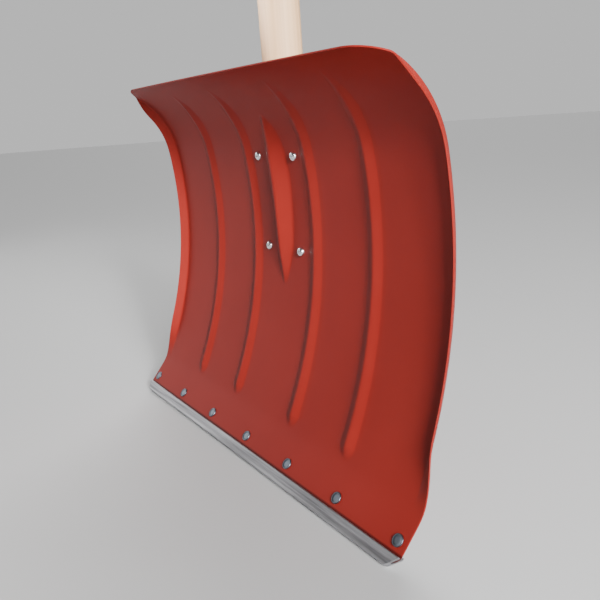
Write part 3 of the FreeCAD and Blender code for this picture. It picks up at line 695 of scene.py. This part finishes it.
for i, (up, across) in enumerate(SCREW_PLACES, start=1):
    name = f"screw_{i}"
    place = facing(up, across)
    screw = cut_cross(name, lathe(name, screw_profile(), place), place, SEAT_GAP + SCREW_RISE)
    new_object(name, screw, f"bracket_screw_{i}", fastener_metal)

stand = Matrix.Translation(Vector((0, HANDLE_BACK, HANDLE_FOOT)) * MM)
shaft = lathe("handle_shaft", handle_profile(), stand, steps=96)
new_object("handle_shaft", shaft, "handle", wood)

# the bracket, the washers, the nuts and the wood screws keep their CAD shapes
for name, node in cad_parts.items():
    if node.hide_render:
        continue
    coat = bracket_metal if name == "handle_bracket" else fastener_metal
    node.data.materials.clear()
    node.data.materials.append(coat)


# ---------------------------------------------------------------- stage, light and camera

FLOOR_HALF = 30.0
FLOOR_GREY = 0.44
BACKDROP_FAR = 18.0
BACKDROP_HEIGHT = 14.0
BACKDROP_SIDES = 64
BACKDROP_GLOW = 0.63
WORLD_GLOW = 0.08
AIM = (0, 0.05, 0.2)  # the middle of the blade
CAMERA_PLACE = (0.6210, -0.2872, 0.3257)
CAMERA_YAW = math.radians(58.85)
CAMERA_PITCH = math.radians(-14.02)
CAMERA_ROLL = math.radians(-4.11)
CAMERA_LENS = 43.67


def add_stage_mesh(name, points, faces, coat):
    """Put a mesh in the scene that isn't part of the shovel."""
    mesh = bpy.data.meshes.new(name)
    mesh.from_pydata(points, [], faces)
    mesh.materials.append(coat)
    item = bpy.data.objects.new(name, mesh)
    bpy.context.scene.collection.objects.link(item)
    return item


def add_floor():
    """A plain pale floor under the shovel."""
    low = before[0][2]
    corners = [(-FLOOR_HALF, -FLOOR_HALF, low), (FLOOR_HALF, -FLOOR_HALF, low),
               (FLOOR_HALF, FLOOR_HALF, low), (-FLOOR_HALF, FLOOR_HALF, low)]
    coat, _, _, shader = material("floor_white")
    shader.inputs["Base Color"].default_value = (FLOOR_GREY, FLOOR_GREY, FLOOR_GREY, 1)
    shader.inputs["Roughness"].default_value = 0.9
    add_stage_mesh("floor", corners, [(0, 1, 2, 3)], coat)


def add_backdrop():
    """A pale round screen far from the shovel, which only the camera sees."""
    low = before[0][2]
    points = []
    for level in (low, low + BACKDROP_HEIGHT):
        for i in range(BACKDROP_SIDES):
            turn = 2 * math.pi * i / BACKDROP_SIDES
            points.append((BACKDROP_FAR * math.cos(turn), BACKDROP_FAR * math.sin(turn), level))
    coat, _, _, shader = material("backdrop_white")
    shader.inputs["Base Color"].default_value = (0, 0, 0, 1)
    shader.inputs["Emission Color"].default_value = (1, 1, 1, 1)
    shader.inputs["Emission Strength"].default_value = BACKDROP_GLOW
    screen = add_stage_mesh("backdrop", points, ring_faces(2, BACKDROP_SIDES), coat)
    screen.visible_diffuse = False
    screen.visible_glossy = False
    screen.visible_shadow = False


def add_lamp(lamp, place, towards):
    """Put a lamp in the scene at a place, shining along a direction."""
    item = bpy.data.objects.new(lamp.name, lamp)
    item.location = place
    item.rotation_euler = Vector(towards).to_track_quat("-Z", "Y").to_euler()
    bpy.context.scene.collection.objects.link(item)


def add_panel(name, place, power, width, height):
    """A lamp with a rectangular face, turned to the blade."""
    lamp = bpy.data.lights.new(name, "AREA")
    lamp.shape = "RECTANGLE"
    lamp.size = width
    lamp.size_y = height
    lamp.energy = power
    add_lamp(lamp, place, Vector(AIM) - Vector(place))


def add_spot(name, place, target, power, cone, blend, width):
    """A lamp that lights a cone: its angle in degrees, and the soft share of its edge."""
    lamp = bpy.data.lights.new(name, "SPOT")
    lamp.energy = power
    lamp.spot_size = math.radians(cone)
    lamp.spot_blend = blend
    lamp.shadow_soft_size = width
    add_lamp(lamp, place, Vector(target) - Vector(place))


def add_sun(name, towards, power, spread):
    """A wide, soft, distant lamp shining along a direction; its spread is in degrees."""
    lamp = bpy.data.lights.new(name, "SUN")
    lamp.energy = power
    lamp.angle = math.radians(spread)
    add_lamp(lamp, (0, 0, 0), towards)


def add_world():
    """A faint even glow from all round."""
    world = bpy.data.worlds.new("studio")
    world.use_nodes = True
    background = world.node_tree.nodes["Background"]
    background.inputs["Color"].default_value = (1, 1, 1, 1)
    background.inputs["Strength"].default_value = WORLD_GLOW
    bpy.context.scene.world = world


def add_camera():
    """The camera, from its place, heading, pitch and roll."""
    level = math.cos(CAMERA_PITCH)
    ahead = Vector((-math.sin(CAMERA_YAW) * level, math.cos(CAMERA_YAW) * level, math.sin(CAMERA_PITCH)))
    right = Vector((math.cos(CAMERA_YAW), math.sin(CAMERA_YAW), 0))
    above = right.cross(ahead)
    rolled_right = right * math.cos(CAMERA_ROLL) + above * math.sin(CAMERA_ROLL)
    rolled_up = above * math.cos(CAMERA_ROLL) - right * math.sin(CAMERA_ROLL)
    basis = Matrix((rolled_right, rolled_up, -ahead)).transposed().to_4x4()
    camera = bpy.data.cameras.new("camera")
    camera.lens = CAMERA_LENS
    camera.sensor_width = 36
    camera.clip_start = 0.01
    item = bpy.data.objects.new("camera", camera)
    item.matrix_world = Matrix.Translation(Vector(CAMERA_PLACE)) @ basis
    bpy.context.scene.collection.objects.link(item)
    bpy.context.scene.camera = item


add_floor()
add_backdrop()
add_world()
add_sun("sky", towards=(0.6, -0.5, -0.62), power=4.2, spread=40)
add_panel("key", (2.24, -0.40, 0.93), power=172, width=0.95, height=0.5)
add_panel("fill", (-1.6, -0.8, 0.6), power=8, width=0.9, height=0.9)
add_spot("handle_spot", (-1.2, -1.7, 0.99), (0, 0.088, 0.99),
         power=800, cone=31.9, blend=0.15, width=0.05)
add_spot("flange_spot", (2.24, -0.45, 0.93), (-0.31, 0.03, 0.17),
         power=850, cone=8.6, blend=1.0, width=0.22)
add_camera()
